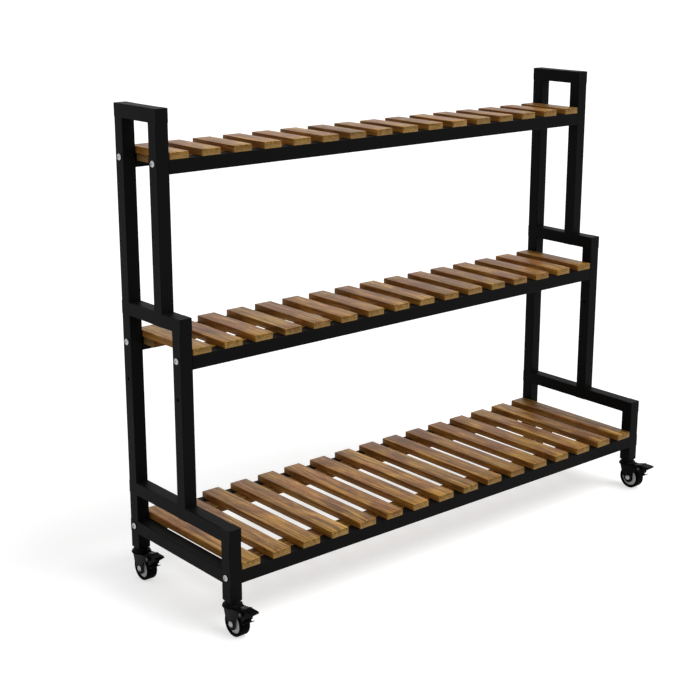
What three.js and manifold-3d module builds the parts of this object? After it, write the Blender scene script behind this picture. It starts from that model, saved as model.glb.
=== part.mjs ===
// A three-tier slatted plant stand on four braked swivel casters.
// Millimetres. +X runs along the shelves, -Y is the front, +Z is up and the floor is z = 0.
// The origin is on the floor, under the middle of the stand's outer box.

import * as THREE from "three";
import { mergeVertices } from "three/addons/utils/BufferGeometryUtils.js";
import Module from "manifold-3d";

const wasm = await Module();
wasm.setup();

// ---------------------------------------------------------------- driving dimensions

// The stand
const standLength = 1100;       // between the outer faces of the two side frames
const standHeight = 896.5;      // floor to the top of the side frames
const bottomDepth = 320;        // front faces of the three front posts, from the rear face
const middleDepth = 187;
const topDepth = 132.5;
const lowerBarTop = 196;        // top faces of the two stepped crossbars
const middleBarTop = 542;
const footHeight = 62;          // underside of the plugs in the posts

// Square steel tube
const tube = 25.4;
const tubeWall = 1.5;
const tubeCorner = 1.5;

// Shelf rails and the screws that hold them
const bottomRailTop = 118.5;
const middleRailTop = 473.5;
const topRailTop = 808.5;
const insertLength = 14;        // threaded block in each rail end
const screwRadius = 3;
const screwHeadRadius = 6;
const screwHeadHeight = 3.3;
const headRim = 0.4;            // straight edge of every domed head
const screwGrip = 10;           // screw length inside the rail
const socketRadius = 2.3;
const socketDepth = 2;
const bottomScrewDrop = 12.5;   // screw axis below the top of its rail
const middleScrewDrop = 8;
const topScrewDrop = 6;
const shelfStep = 70;           // spare holes for a lower middle shelf

// Slatted decks
const slatCount = 16;
const slatWidth = 39;
const slatSetback = 2.5;         // slat ends ahead of the rear face
const slatThickness = 12;
const deckSideGap = 1.2;        // deck to side frame
const battenWidth = 35;
const battenThickness = 13.5;
const battenGap = 1;            // batten to rail

// Clearances
const seatGap = 0.3;            // between faces that rest on each other
const boreGap = 0.3;            // radial, round screws, stems, axles and pins

// Caster
const wheelRadius = 24.5;
const wheelWidth = 21;
const coreRadius = 18.8;
const hubRadius = 7.5;
const coreInset = 2.6;          // core's sides set in from the tyre's
const tyreShoulder = 2.2;       // radius of the tread's rounded edges
const tyreBead = 0.4;           // tyre's side set in at its bore
const axleRadius = 3.5;
const axleHeadRadius = 5.6;
const axleHeadHeight = 3.4;
const casterTrail = 13.6;       // axle ahead of the swivel axis
const legThickness = 2;
const legEndRadius = 11.4;
const legTopFront = 15.5;       // ends of the leg's top edge, ahead of and behind the swivel axis
const legTopBack = 8.5;
const legBackDrop = 3;          // straight rear edge of the leg, below the plate
const legTaperBack = 5;         // where its taper meets the round end, behind the axis and below the plate
const legTaperDrop = 13;
const hubGap = 0.9;             // wheel side to fork leg
const forkPlateThickness = 1.9;
const forkPlateRadius = 18.5;
const forkPlateChamfer = 1;
const tyreHeadroom = 2.3;       // tyre to fork plate
const raceRadius = 17.6;
const raceRim = 1;
const neckRadius = 13.8;
const neckChamfer = 3;
const neckChamferHeight = 1.2;
const kingpinRadius = 5;
const kingpinHeadRadius = 6.5;
const kingpinHeadHeight = 1;
const stemRadius = 4;
const stemLength = 27;
const stemChamfer = 1;
const plugHeight = 28;
const plugFlange = 1.5;
const pinRadius = 2;
const pinHeadRadius = 2.9;
const pinHeadHeight = 1.2;
const earRadius = 5;
const pedalPinReach = 40.6;     // pedal pivot ahead of the swivel axis
const pedalPinHeight = 52;

// Brake pedal and shoe, measured from the pedal's pin: back and ahead, rise and drop
const pedalHalfWidth = 9.7;
const pedalPlate = 2;
const tailBack = 18.6;
const tailRise = 2.8;
const ridgeAhead = 2.4;
const ridgeRise = 8.7;
const treadRise = 8;
const treadFall = 0.3;          // how much lower the tread starts behind its tip
const tipAhead = 24.7;
const tipRound = 3;             // length of the tip's rounded end
const tipDepth = 3.5;
const skirtBack = 4;
const skirtBackDrop = 5.5;
const skirtFoot = 0.5;          // rear corner of the skirt's foot, behind the pin
const skirtFootDrop = 12.4;
const apronAhead = 5.3;         // plate across the skirts' front
const apronDrop = 12.6;
const skirtAhead = 7.4;
const skirtAheadDrop = 6.5;
const shoeThickness = 1.5;
const shoeRoot = 3;             // riveted end ahead of the pedal's tail
const shoeBack = 5.4;
const shoulderDrop = 8;
const kneeBack = 2.2;
const kneeDrop = 13.5;
const heelAhead = 2;
const heelDrop = 19;
const lipAhead = 10.7;
const lipDrop = 14.1;
const shoeLap = 1;              // narrow and wide strips overlap by this much
const rivetBack = 11.6;
const rivetRadius = 1.6;
const rivetHeadRadius = 2.9;
const rivetHeadHeight = 1.1;

const past = 30;                // how far a cutting shape runs beyond the piece that it cuts

// Facets
const wheelFacets = 32;
const turnedFacets = 20;
const smallFacets = 12;
const cornerFacets = 2;
const domeFacets = 3;

// ---------------------------------------------------------------- places that follow

const tubeInside = tube - 2 * tubeWall;
const pedalReach = pedalPinReach + tipAhead;
const originY = (bottomDepth - tube / 2 + pedalReach - (forkPlateRadius - tube / 2)) / 2;
const outerX = standLength / 2;
const innerX = outerX - tube;
const axleHeight = wheelRadius * Math.cos(Math.PI / wheelFacets);
const legInner = wheelWidth / 2 + hubGap;
const legOuter = legInner + legThickness;
const forkPlateBottom = axleHeight + wheelRadius + tyreHeadroom;
const forkPlateTop = forkPlateBottom + forkPlateThickness;

const shelves = [
  { name: "bottom", railTop: bottomRailTop, depth: bottomDepth, screwDrop: bottomScrewDrop },
  { name: "middle", railTop: middleRailTop, depth: middleDepth, screwDrop: middleScrewDrop },
  { name: "top", railTop: topRailTop, depth: topDepth, screwDrop: topScrewDrop },
];
const sides = [
  { name: "left", x: -outerX + tube / 2, outward: -1 },
  { name: "right", x: outerX - tube / 2, outward: 1 },
];

// Distances written as "back" are measured forwards from the rear face of the rear posts.
const fromBack = (distance) => originY - distance;

// ---------------------------------------------------------------- materials

const finish = (color, roughness, metalness) =>
  new THREE.MeshStandardMaterial({ color, roughness, metalness });
const blackSteel = finish(0x1c1c1d, 0.5, 0.3);
const pineWood = finish(0x9b7350, 0.75, 0);
const zincSteel = finish(0xb9bbbd, 0.35, 0.9);
const blackNylon = finish(0x151516, 0.6, 0);
const greyNylon = finish(0xc4c5c6, 0.5, 0);
const blackRubber = finish(0x111112, 0.85, 0);

// ---------------------------------------------------------------- solid tools

function solid(geometry) {
  const bare = geometry.clone();
  bare.deleteAttribute("normal");
  bare.deleteAttribute("uv");
  const merged = mergeVertices(bare, 1e-5);
  return new wasm.Manifold(new wasm.Mesh({
    numProp: 3,
    vertProperties: new Float32Array(merged.attributes.position.array),
    triVerts: new Uint32Array(merged.index.array),
  }));
}

function geometryOf(manifold) {
  const mesh = manifold.getMesh();
  const geometry = new THREE.BufferGeometry();
  geometry.setAttribute("position", new THREE.BufferAttribute(mesh.vertProperties, 3));
  geometry.setIndex(new THREE.BufferAttribute(mesh.triVerts, 1));
  geometry.computeVertexNormals();
  return geometry;
}

const join = (geometries) =>
  geometries.map(solid).reduce((whole, piece) => whole.add(piece));
const cut = (whole, geometries) =>
  geometries.map(solid).reduce((left, piece) => left.subtract(piece), whole);

// Corners are set to the given values, so two boxes that share a face meet exactly.
function boxBetween(low, high) {
  const box = new THREE.BoxGeometry(1, 1, 1);
  const corners = box.attributes.position;
  for (let corner = 0; corner < corners.count; corner++) {
    for (let axis = 0; axis < 3; axis++) {
      const side = corners.getComponent(corner, axis) < 0 ? low : high;
      corners.setComponent(corner, axis, side[axis]);
    }
  }
  return box;
}

function roundedSquare(side, radius) {
  const half = side / 2;
  const flat = half - radius;
  const shape = new THREE.Shape();
  shape.moveTo(-flat, -half);
  shape.lineTo(flat, -half);
  shape.absarc(flat, -flat, radius, -Math.PI / 2, 0);
  shape.lineTo(half, flat);
  shape.absarc(flat, flat, radius, 0, Math.PI / 2);
  shape.lineTo(-flat, half);
  shape.absarc(-flat, flat, radius, Math.PI / 2, Math.PI);
  shape.lineTo(-half, -flat);
  shape.absarc(-flat, -flat, radius, Math.PI, Math.PI * 1.5);
  return shape;
}

// A bar of rounded square section, standing on z = 0.
const squareBar = (length) => new THREE.ExtrudeGeometry(roundedSquare(tube, tubeCorner), {
  depth: length, bevelEnabled: false, curveSegments: cornerFacets,
});

// A cylinder along X between two places.
const rodAlongX = (radius, fromX, toX, y, z, facets = smallFacets) =>
  new THREE.CylinderGeometry(radius, radius, toX - fromX, facets)
    .rotateZ(Math.PI / 2).translate((fromX + toX) / 2, y, z);

// A turned piece: its profile holds [radius, distance along the axis] pairs.
const turned = (profile, facets) =>
  new THREE.LatheGeometry(profile.map(([radius, along]) => new THREE.Vector2(radius, along)), facets);
const turnedAboutZ = (profile, facets) => turned(profile, facets).rotateX(Math.PI / 2);
const turnedAboutX = (profile, facets) => turned(profile, facets).rotateZ(-Math.PI / 2);

// Profile of a domed head, from its edge to its middle.
const domedHead = (radius, height, from) => [
  [radius, from],
  ...Array.from({ length: domeFacets }, (_, step) => {
    const angle = step * Math.PI / 2 / domeFacets;
    return [radius * Math.cos(angle), from + headRim + (height - headRim) * Math.sin(angle)];
  }),
  [0, from + height],
];

// A plate cut from a side outline of [forwards, up] points, standing across X.
function sidePlate(outline, lowX, highX) {
  const shape = new THREE.Shape(outline.map(([forwards, up]) => new THREE.Vector2(forwards, up)));
  return new THREE.ExtrudeGeometry(shape, { depth: highX - lowX, bevelEnabled: false })
    .rotateX(Math.PI / 2).rotateZ(-Math.PI / 2).translate(highX, 0, 0);
}

const arcPoints = (forwards, up, radius, fromDegrees, toDegrees, steps) =>
  Array.from({ length: steps + 1 }, (_, step) => {
    const angle = THREE.MathUtils.degToRad(fromDegrees + (toDegrees - fromDegrees) * step / steps);
    return [forwards + radius * Math.cos(angle), up + radius * Math.sin(angle)];
  });

const stand = new THREE.Group();

function place(parent, name, geometry, material, x = 0, y = 0, z = 0) {
  const mesh = new THREE.Mesh(geometry, material);
  mesh.name = name;
  mesh.position.set(x, y, z);
  parent.add(mesh);
}

// ---------------------------------------------------------------- side frames

// Members of one welded side frame. "front" is the depth of a member's front face.
const openFoot = footHeight + plugFlange + seatGap;
const posts = [
  { front: tube, foot: openFoot, top: standHeight, open: true },
  { front: topDepth, foot: middleBarTop - tube, top: standHeight },
  { front: middleDepth, foot: lowerBarTop - tube, top: middleBarTop },
  { front: bottomDepth, foot: openFoot, top: lowerBarTop, open: true },
];
const bars = [
  { front: topDepth, top: standHeight },
  { front: middleDepth, top: middleBarTop },
  { front: bottomDepth, top: lowerBarTop },
  { front: bottomDepth, top: bottomRailTop },
];

function sideFrame() {
  const uprights = posts.map(({ front, foot, top }) =>
    squareBar(top - foot).translate(0, fromBack(front - tube / 2), foot));
  const crossbars = bars.map(({ front, top }) =>
    squareBar(front).rotateX(Math.PI / 2).translate(0, fromBack(0), top - tube / 2));

  const half = tubeInside / 2;
  const postHollows = posts.map(({ front, foot, top, open }) => {
    const low = open ? foot - past : foot + tubeWall;
    return boxBetween([-half, fromBack(front - tubeWall), low],
      [half, fromBack(front - tube + tubeWall), top - tubeWall]);
  });
  const barHollows = bars.map(({ front, top }) =>
    boxBetween([-half, fromBack(front - tubeWall), top - tube + tubeWall],
      [half, fromBack(tubeWall), top - tubeWall]));

  const holeRows = shelves.flatMap(({ depth, railTop, screwDrop }) =>
    [tube / 2, depth - tube / 2].map((back) => [back, railTop - screwDrop]));
  const spareHeight = middleRailTop - middleScrewDrop - shelfStep;
  const spareRows = [tube / 2, middleDepth - tube / 2].map((back) => [back, spareHeight]);
  const holes = [...holeRows, ...spareRows].map(([back, height]) =>
    rodAlongX(screwRadius + boreGap, -past, past, fromBack(back), height));

  const hollows = join([...postHollows, ...barHollows]);
  return geometryOf(cut(join([...uprights, ...crossbars]).subtract(hollows), holes));
}

const sideFrameGeometry = sideFrame();
for (const side of sides) {
  place(stand, `${side.name}_side_frame`, sideFrameGeometry, blackSteel, side.x);
}

// ---------------------------------------------------------------- rails

function shelfRail(screwDrop) {
  const length = 2 * (innerX - seatGap);
  const bar = squareBar(length).rotateY(Math.PI / 2).translate(-length / 2, 0, -tube / 2);
  const hollowEnd = length / 2 - insertLength;
  const half = tubeInside / 2;
  const hollow = boxBetween([-hollowEnd, -half, -tube / 2 - half], [hollowEnd, half, -tube / 2 + half]);
  const bore = rodAlongX(screwRadius + boreGap, -length, length, 0, -screwDrop);
  return geometryOf(cut(solid(bar), [hollow, bore]));
}

for (const { name, railTop, depth, screwDrop } of shelves) {
  const geometry = shelfRail(screwDrop);
  place(stand, `${name}_front_rail`, geometry, blackSteel, 0, fromBack(depth - tube / 2), railTop);
  place(stand, `${name}_rear_rail`, geometry, blackSteel, 0, fromBack(tube / 2), railTop);
}

// ---------------------------------------------------------------- screws

// A button-head screw along +Z: the head's flat underside is at z = 0 and the shank runs down.
function buttonScrew() {
  const shank = tube + 2 * seatGap + screwGrip;
  const body = turnedAboutZ([
    [0, -shank],
    [screwRadius, -shank],
    [screwRadius, 0],
    ...domedHead(screwHeadRadius, screwHeadHeight, 0),
  ], smallFacets);
  const socket = new THREE.CylinderGeometry(socketRadius, socketRadius, 2 * socketDepth, 6)
    .rotateX(Math.PI / 2).translate(0, 0, screwHeadHeight);
  return geometryOf(cut(solid(body), [socket]));
}

const screwGeometry = buttonScrew();
for (const { name, railTop, depth, screwDrop } of shelves) {
  for (const [row, back] of [["front", depth - tube / 2], ["rear", tube / 2]]) {
    for (const side of sides) {
      const turnedScrew = screwGeometry.clone().rotateY(side.outward * Math.PI / 2);
      place(stand, `${name}_${row}_${side.name}_screw`, turnedScrew, zincSteel,
        side.outward * (outerX + seatGap), fromBack(back), railTop - screwDrop);
    }
  }
}

// ---------------------------------------------------------------- decks

// Slats across two battens that drop between the rails. z = 0 is the slats' underside.
function slattedDeck(depth) {
  const deckEnd = innerX - deckSideGap;
  const pitch = (2 * deckEnd - slatWidth) / (slatCount - 1);
  const slats = Array.from({ length: slatCount }, (_, index) => {
    const left = -deckEnd + index * pitch;
    return boxBetween([left, fromBack(depth), 0], [left + slatWidth, fromBack(slatSetback), slatThickness]);
  });
  const battenStarts = [tube + battenGap, depth - tube - battenGap - battenWidth];
  const battens = battenStarts.map((back) =>
    boxBetween([-deckEnd, fromBack(back + battenWidth), -battenThickness], [deckEnd, fromBack(back), 0]));
  return geometryOf(join([...battens, ...slats]));
}

for (const { name, railTop, depth } of shelves) {
  place(stand, `${name}_shelf_deck`, slattedDeck(depth), pineWood, 0, 0, railTop + seatGap);
}

// ---------------------------------------------------------------- casters

// Each caster's pieces are drawn about its swivel axis: x across, -y towards the pedal, z from the floor.

function stemPlug() {
  const flange = squareBar(plugFlange).translate(0, 0, footHeight);
  const side = tubeInside / 2 - seatGap;
  const neckTop = footHeight + plugFlange + plugHeight;
  const body = boxBetween([-side, -side, footHeight + plugFlange / 2], [side, side, neckTop]);
  const boreRadius = stemRadius + boreGap;
  const bore = new THREE.CylinderGeometry(boreRadius, boreRadius, plugHeight + 2 * past, smallFacets)
    .rotateX(Math.PI / 2).translate(0, 0, footHeight + plugHeight / 2);
  return geometryOf(cut(join([flange, body]), [bore]));
}

// Threaded stem, upper race and kingpin in one turned piece that traps the fork plate.
function swivelStem() {
  const headTop = forkPlateBottom - seatGap;
  const raceBottom = forkPlateTop + seatGap;
  const shoulderTop = footHeight - seatGap;
  return turnedAboutZ([
    [0, headTop - kingpinHeadHeight],
    [kingpinHeadRadius, headTop - kingpinHeadHeight],
    [kingpinHeadRadius, headTop],
    [kingpinRadius, headTop],
    [kingpinRadius, raceBottom],
    [raceRadius, raceBottom],
    [raceRadius, raceBottom + raceRim],
    [neckRadius, shoulderTop - neckChamferHeight],
    [neckRadius - neckChamfer, shoulderTop],
    [stemRadius, shoulderTop],
    [stemRadius, footHeight + stemLength - stemChamfer],
    [stemRadius - stemChamfer, footHeight + stemLength],
    [0, footHeight + stemLength],
  ], turnedFacets);
}

// Side outline of a fork leg with the ear that carries the pedal pin.
function forkLegOutline() {
  return [
    ...arcPoints(casterTrail, axleHeight, legEndRadius, -180, 0, 8),
    [casterTrail + legEndRadius, axleHeight + legEndRadius],
    ...arcPoints(pedalPinReach, pedalPinHeight, earRadius, -70, 100, 6),
    [legTopFront, forkPlateTop],
    [-legTopBack, forkPlateTop],
    [-legTopBack, forkPlateBottom - legBackDrop],
    [-legTaperBack, forkPlateBottom - legTaperDrop],
  ];
}

function fork() {
  const plate = turnedAboutZ([
    [kingpinRadius + boreGap, forkPlateBottom],
    [forkPlateRadius - forkPlateChamfer, forkPlateBottom],
    [forkPlateRadius, forkPlateBottom + forkPlateThickness / 2],
    [forkPlateRadius, forkPlateTop],
    [kingpinRadius + boreGap, forkPlateTop],
    [kingpinRadius + boreGap, forkPlateBottom],
  ], turnedFacets);
  const outline = forkLegOutline();
  const legs = [sidePlate(outline, -legOuter, -legInner), sidePlate(outline, legInner, legOuter)];
  const axleHole = rodAlongX(axleRadius + boreGap, -past, past, -casterTrail, axleHeight);
  const pinHole = rodAlongX(pinRadius + boreGap, -past, past, -pedalPinReach, pedalPinHeight);
  return geometryOf(cut(join([plate, ...legs]), [axleHole, pinHole]));
}

// A rod along X with a domed head outside each fork leg.
function headedRod(radius, headRadius, headHeight) {
  const under = legOuter + seatGap;
  const head = [[radius, under], ...domedHead(headRadius, headHeight, under)];
  const farHead = head.map(([r, along]) => [r, -along]).reverse();
  return turnedAboutX([...farHead, ...head], smallFacets);
}

function wheelCore() {
  const side = wheelWidth / 2;
  const hubEnd = legInner - seatGap;
  const bore = axleRadius + boreGap;
  const half = [[bore, hubEnd], [hubRadius, hubEnd], [hubRadius, side - coreInset],
    [coreRadius, side - coreInset]];
  const otherHalf = half.map(([radius, along]) => [radius, -along]).reverse();
  return turnedAboutX([...half, ...otherHalf, half[0]].reverse(), wheelFacets)
    .rotateX(Math.PI / wheelFacets);
}

function tyre() {
  const side = wheelWidth / 2;
  const bore = coreRadius + seatGap;
  const half = [
    [bore, side - tyreBead],
    ...arcPoints(wheelRadius - tyreShoulder, side - tyreShoulder, tyreShoulder, 90, 0, 2),
  ];
  const otherHalf = half.map(([radius, along]) => [radius, -along]).reverse();
  return turnedAboutX([...half, ...otherHalf, half[0]].reverse(), wheelFacets)
    .rotateX(Math.PI / wheelFacets);
}

// Foot pedal: a folded plate with two skirts that hang on the pin, and an apron across their front.
const tail = pedalPinReach - tailBack;
const tailTop = pedalPinHeight + tailRise;
const ridge = pedalPinReach + ridgeAhead;
const ridgeTop = pedalPinHeight + ridgeRise;
const treadTop = pedalPinHeight + treadRise;
const tailSlope = (ridgeTop - tailTop) / (ridge - tail);
const tailTopAt = (reach) => tailTop + (reach - tail) * tailSlope;
const rivetReach = pedalPinReach - rivetBack;

function brakePedal() {
  const treadStart = [ridge + tipRound, treadTop - treadFall];
  const whole = sidePlate([
    [tail, tailTop - pedalPlate],
    [pedalPinReach - skirtBack, pedalPinHeight - skirtBackDrop],
    [pedalPinReach - skirtFoot, pedalPinHeight - skirtFootDrop],
    [pedalPinReach + apronAhead, pedalPinHeight - apronDrop],
    [pedalPinReach + apronAhead, pedalPinHeight - skirtAheadDrop - pedalPlate],
    [pedalPinReach + skirtAhead, pedalPinHeight - skirtAheadDrop],
    [pedalReach - tipRound / 3, treadTop - tipDepth],
    [pedalReach, treadTop - tipDepth / 2],
    [pedalReach - tipRound, treadTop],
    treadStart,
    [ridge, ridgeTop],
    [tail, tailTop],
  ], -pedalHalfWidth, pedalHalfWidth);
  const inside = pedalHalfWidth - pedalPlate;
  const apronFront = pedalPinReach + apronAhead;
  const underTread = treadStart[1] - pedalPlate;
  const bodyHollow = sidePlate([
    [tail - past, pedalPinHeight - past],
    [apronFront - pedalPlate, pedalPinHeight - past],
    [apronFront - pedalPlate, underTread],
    [ridge, ridgeTop - pedalPlate],
    [tail - past, tailTopAt(tail - past) - pedalPlate],
  ], -inside, inside);
  const hollowFront = pedalReach - tipRound - pedalPlate;
  const treadHollow = sidePlate([
    [apronFront, pedalPinHeight - past],
    [hollowFront, pedalPinHeight - past],
    [hollowFront, treadTop - pedalPlate],
    [apronFront, underTread],
  ], -inside, inside);
  const pinHole = rodAlongX(pinRadius + boreGap, -past, past, -pedalPinReach, pedalPinHeight);
  const holeRadius = rivetRadius + boreGap;
  const rivetHole = new THREE.CylinderGeometry(holeRadius, holeRadius, past, smallFacets)
    .rotateX(Math.PI / 2).translate(0, -rivetReach, tailTopAt(rivetReach));
  return geometryOf(cut(solid(whole), [bodyHollow, treadHollow, pinHole, rivetHole]));
}

// Brake shoe: a bent strip riveted under the pedal, facing the tyre, with a release lip in front.
// It is narrow between the pedal's skirts and as wide as the pedal below them.
function brakeShoe() {
  const narrow = pedalHalfWidth - pedalPlate - seatGap;
  const under = pedalPlate + seatGap + shoeThickness / 2;
  const bend = pedalPinReach - shoeBack;
  const root = tail + shoeRoot;
  const shoulder = [bend, pedalPinHeight - shoulderDrop];
  const knee = [pedalPinReach - kneeBack, pedalPinHeight - kneeDrop];
  const lap = shoeLap / Math.hypot(knee[0] - shoulder[0], knee[1] - shoulder[1]);
  const hanger = [
    [root, tailTopAt(root) - under],
    [bend, tailTopAt(bend) - under],
    shoulder,
    shoulder.map((value, axis) => value + (knee[axis] - value) * lap),
  ];
  const face = [
    shoulder,
    knee,
    [pedalPinReach + heelAhead, pedalPinHeight - heelDrop],
    [pedalPinReach + lipAhead, pedalPinHeight - lipDrop],
  ];
  const strips = [
    sidePlate(stripOutline(hanger, shoeThickness), -narrow, narrow),
    sidePlate(stripOutline(face, shoeThickness), -pedalHalfWidth, pedalHalfWidth),
  ];
  const headBase = tailTopAt(rivetReach) + seatGap + rivetHeadRadius * tailSlope;
  const shankEnd = tailTopAt(rivetReach) - under - shoeThickness;
  const rivet = turnedAboutZ([
    [0, shankEnd],
    [rivetRadius, shankEnd],
    [rivetRadius, headBase],
    ...domedHead(rivetHeadRadius, rivetHeadHeight, headBase),
  ], smallFacets).translate(0, -rivetReach, 0);
  return geometryOf(join([...strips, rivet]));
}

// Outline of a strip of even thickness along a path of [forwards, up] points.
function stripOutline(path, thickness) {
  const points = path.map(([forwards, up]) => new THREE.Vector2(forwards, up));
  const sideOf = (from, to) => {
    const along = to.clone().sub(from).normalize();
    return new THREE.Vector2(-along.y, along.x);
  };
  const offsets = points.map((point, index) => {
    const before = index > 0 ? sideOf(points[index - 1], point) : sideOf(point, points[1]);
    const after = index < points.length - 1 ? sideOf(point, points[index + 1]) : before;
    const middle = before.clone().add(after).normalize();
    return middle.multiplyScalar(thickness / 2 / middle.dot(after));
  });
  const oneSide = points.map((point, index) => point.clone().add(offsets[index]));
  const otherSide = points.map((point, index) => point.clone().sub(offsets[index])).reverse();
  return [...oneSide, ...otherSide].map(({ x, y }) => [x, y]);
}

const casterPieces = {
  stem_plug: [stemPlug(), blackNylon],
  swivel_stem: [swivelStem(), blackSteel],
  fork: [fork(), blackSteel],
  axle_bolt: [headedRod(axleRadius, axleHeadRadius, axleHeadHeight), zincSteel],
  wheel_core: [wheelCore(), greyNylon],
  tyre: [tyre(), blackRubber],
  brake_pedal: [brakePedal(), blackSteel],
  brake_shoe: [brakeShoe(), blackSteel],
  pedal_pin: [headedRod(pinRadius, pinHeadRadius, pinHeadHeight), zincSteel],
};
const axleCentred = { axle_bolt: [casterTrail, axleHeight], wheel_core: [casterTrail, axleHeight],
  tyre: [casterTrail, axleHeight], pedal_pin: [pedalPinReach, pedalPinHeight] };

for (const [row, back] of [["front", bottomDepth - tube / 2], ["rear", tube / 2]]) {
  for (const side of sides) {
    const caster = new THREE.Group();
    caster.position.set(side.x, fromBack(back), 0);
    for (const [piece, [geometry, material]] of Object.entries(casterPieces)) {
      const [forwards, up] = axleCentred[piece] ?? [0, 0];
      place(caster, `${row}_${side.name}_${piece}`, geometry, material, 0, -forwards, up);
    }
    stand.add(caster);
  }
}

export default stand;
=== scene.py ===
# Looks of a three-tier slatted plant stand on four braked swivel casters.
# Lengths are written in millimetres, and become metres when a mesh or a place is made.
# Noise and ring scales in the materials are per metre.

import math
import random

import bmesh
import bpy
from mathutils import Matrix, Vector


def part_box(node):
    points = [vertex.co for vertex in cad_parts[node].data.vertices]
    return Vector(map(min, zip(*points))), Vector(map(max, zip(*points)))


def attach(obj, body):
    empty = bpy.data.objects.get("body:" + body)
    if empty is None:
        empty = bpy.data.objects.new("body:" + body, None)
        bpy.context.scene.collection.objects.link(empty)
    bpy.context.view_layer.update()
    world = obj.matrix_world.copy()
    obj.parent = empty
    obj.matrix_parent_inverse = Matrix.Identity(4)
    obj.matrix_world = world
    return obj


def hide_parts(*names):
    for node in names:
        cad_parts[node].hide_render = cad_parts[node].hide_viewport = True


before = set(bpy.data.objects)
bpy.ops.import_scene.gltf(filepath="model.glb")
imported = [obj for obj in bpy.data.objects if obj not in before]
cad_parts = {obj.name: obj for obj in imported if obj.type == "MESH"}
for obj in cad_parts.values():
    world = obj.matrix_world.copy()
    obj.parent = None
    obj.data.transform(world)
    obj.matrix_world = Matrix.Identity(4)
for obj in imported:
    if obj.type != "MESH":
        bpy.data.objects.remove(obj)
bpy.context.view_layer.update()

MM = 0.001
SHELVES = ("bottom", "middle", "top")
ROWS = ("front", "rear")
SIDES = {"left": -1, "right": 1}
FIT = 0.3                    # gap between two pieces that are set against each other


# ---------------------------------------------------------------- places, from the frame

def box(node):
    """A CAD node's lowest and highest corners at rest."""
    low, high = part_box(node)
    return Vector(low) / MM, Vector(high) / MM


def centre(node):
    low, high = box(node)
    return (low + high) / 2


def size(node):
    low, high = box(node)
    return high - low


# ---------------------------------------------------------------- mesh tools

def finish_mesh(bm, name, materials, sharp=38.0):
    """Close the mesh work: metres, smooth faces, and sharp edges past an angle in degrees."""
    bmesh.ops.recalc_face_normals(bm, faces=bm.faces)
    bm.transform(Matrix.Scale(MM, 4))
    for face in bm.faces:
        face.smooth = True
    limit = math.radians(sharp)
    for edge in bm.edges:
        if len(edge.link_faces) == 2 and edge.calc_face_angle(0.0) > limit:
            edge.smooth = False
    mesh = bpy.data.meshes.new(name)
    bm.to_mesh(mesh)
    bm.free()
    for material in materials:
        mesh.materials.append(material)
    return mesh


def add_piece(name, mesh, body, replaced, place=(0.0, 0.0, 0.0), turn=0.0):
    """Hang a mesh on a body, in a node's stead, turned about Z by an angle in degrees."""
    piece = bpy.data.objects.new(name, mesh)
    bpy.context.scene.collection.objects.link(piece)
    about_z = Matrix.Rotation(math.radians(turn), 4, "Z")
    piece.matrix_world = Matrix.Translation(Vector(place) * MM) @ about_z
    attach(piece, body)
    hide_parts(replaced)
    return piece


def weigh_flats(piece):
    """Let the large flats set the normals, so that no shade runs off a rounded edge."""
    flats = piece.modifiers.new("flat_faces", "WEIGHTED_NORMAL")
    flats.keep_sharp = True
    flats.weight = 100


def soften(points, radius, steps=3, closed=True):
    """Round the corners of a 2-D path."""
    slightest = math.radians(12)
    most_of_side = 0.45
    count = len(points)
    result = []
    for index, point in enumerate(points):
        here = Vector(point)
        before = Vector(points[index - 1]) - here
        after = Vector(points[(index + 1) % count]) - here
        at_end = not closed and index in (0, count - 1)
        turn = 0.0 if at_end or not before.length or not after.length else math.pi - before.angle(after)
        if turn < slightest:
            result.append(point)
            continue
        reach = min(radius * math.tan(turn / 2), before.length * most_of_side, after.length * most_of_side)
        start = here + before.normalized() * reach
        end = here + after.normalized() * reach
        for step in range(steps + 1):
            t = step / steps
            blend = start * (1 - t) ** 2 + here * (2 * t * (1 - t)) + end * t ** 2
            result.append((blend.x, blend.y))
    return result


def arc(forwards, up, radius, start, end, steps):
    """Points on a circle, from one angle in degrees to another."""
    angles = [math.radians(start + (end - start) * step / steps) for step in range(steps + 1)]
    return [(forwards + radius * math.cos(angle), up + radius * math.sin(angle)) for angle in angles]


def lathe(bm, profile, axis="Z", segments=64, middle=(0.0, 0.0, 0.0)):
    """Turn a profile of (radius, along) points about Z or X. A radius of 0 closes an end."""
    rings = []
    for radius, along in profile:
        ring = []
        for index in range(segments if radius else 1):
            angle = 2 * math.pi * index / segments
            across, up = radius * math.cos(angle), radius * math.sin(angle)
            spot = (across, up, along) if axis == "Z" else (along, across, up)
            ring.append(bm.verts.new(Vector(spot) + Vector(middle)))
        rings.append(ring)
    for low, high in zip(rings, rings[1:]):
        for index in range(segments):
            after = (index + 1) % segments
            corners = [low[index % len(low)], low[after % len(low)],
                       high[after % len(high)], high[index % len(high)]]
            unique = list(dict.fromkeys(corners))
            if len(unique) > 2:
                bm.faces.new(unique)


def closed_lathe(bm, profile, **settings):
    """Turn a closed profile into a ring-shaped body."""
    lathe(bm, profile + [profile[0]], **settings)
    bmesh.ops.remove_doubles(bm, verts=bm.verts, dist=1e-4)


def plate(bm, outline, low_x, high_x, rim):
    """A plate across X from an outline of (forwards, up) points, with a rounded rim."""
    near = [bm.verts.new((low_x, -forwards, up)) for forwards, up in outline]
    far = [bm.verts.new((high_x, -forwards, up)) for forwards, up in outline]
    caps = [bm.faces.new(near), bm.faces.new(list(reversed(far)))]
    for index in range(len(outline)):
        after = (index + 1) % len(outline)
        bm.faces.new((near[after], near[index], far[index], far[after]))
    edges = [edge for cap in caps for edge in cap.edges]
    bmesh.ops.bevel(bm, geom=edges, offset=rim, segments=2, profile=0.6, affect="EDGES", clamp_overlap=True)


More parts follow.
